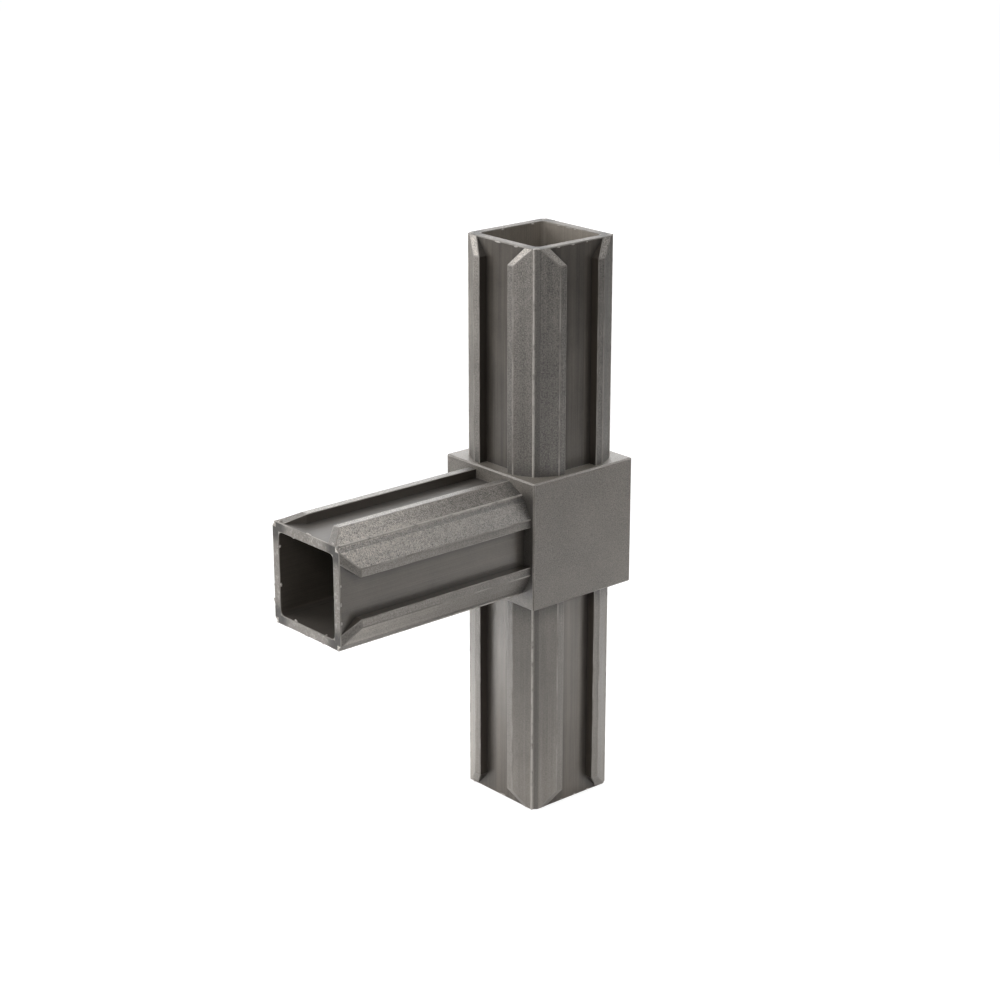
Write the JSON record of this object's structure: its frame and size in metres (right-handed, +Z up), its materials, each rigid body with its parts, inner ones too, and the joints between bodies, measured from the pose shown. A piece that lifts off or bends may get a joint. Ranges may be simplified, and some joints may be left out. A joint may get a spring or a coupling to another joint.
{
  "type": "square tube connector",
  "caption": "Cube hub with hollow, finned spigots up, down and to the front, which are driven into the ends of square tubes to join them in a T.",
  "frame": {"origin": "middle of the lower spigot's end, on which the connector stands; the axis of the two vertical tubes passes through it", "axes": "+Z up along the two spigots in line, the third spigot points along -Y, and X is square to both, across the plane of symmetry"},
  "size_m": [0.025, 0.068, 0.111],
  "materials": {
    "moulded_plastic": "fine-grained as moulded, smoother in the recesses between the fins"
  },
  "bodies": {
    "root": {"connector": "moulded_plastic"}
  },
  "joints": []
}
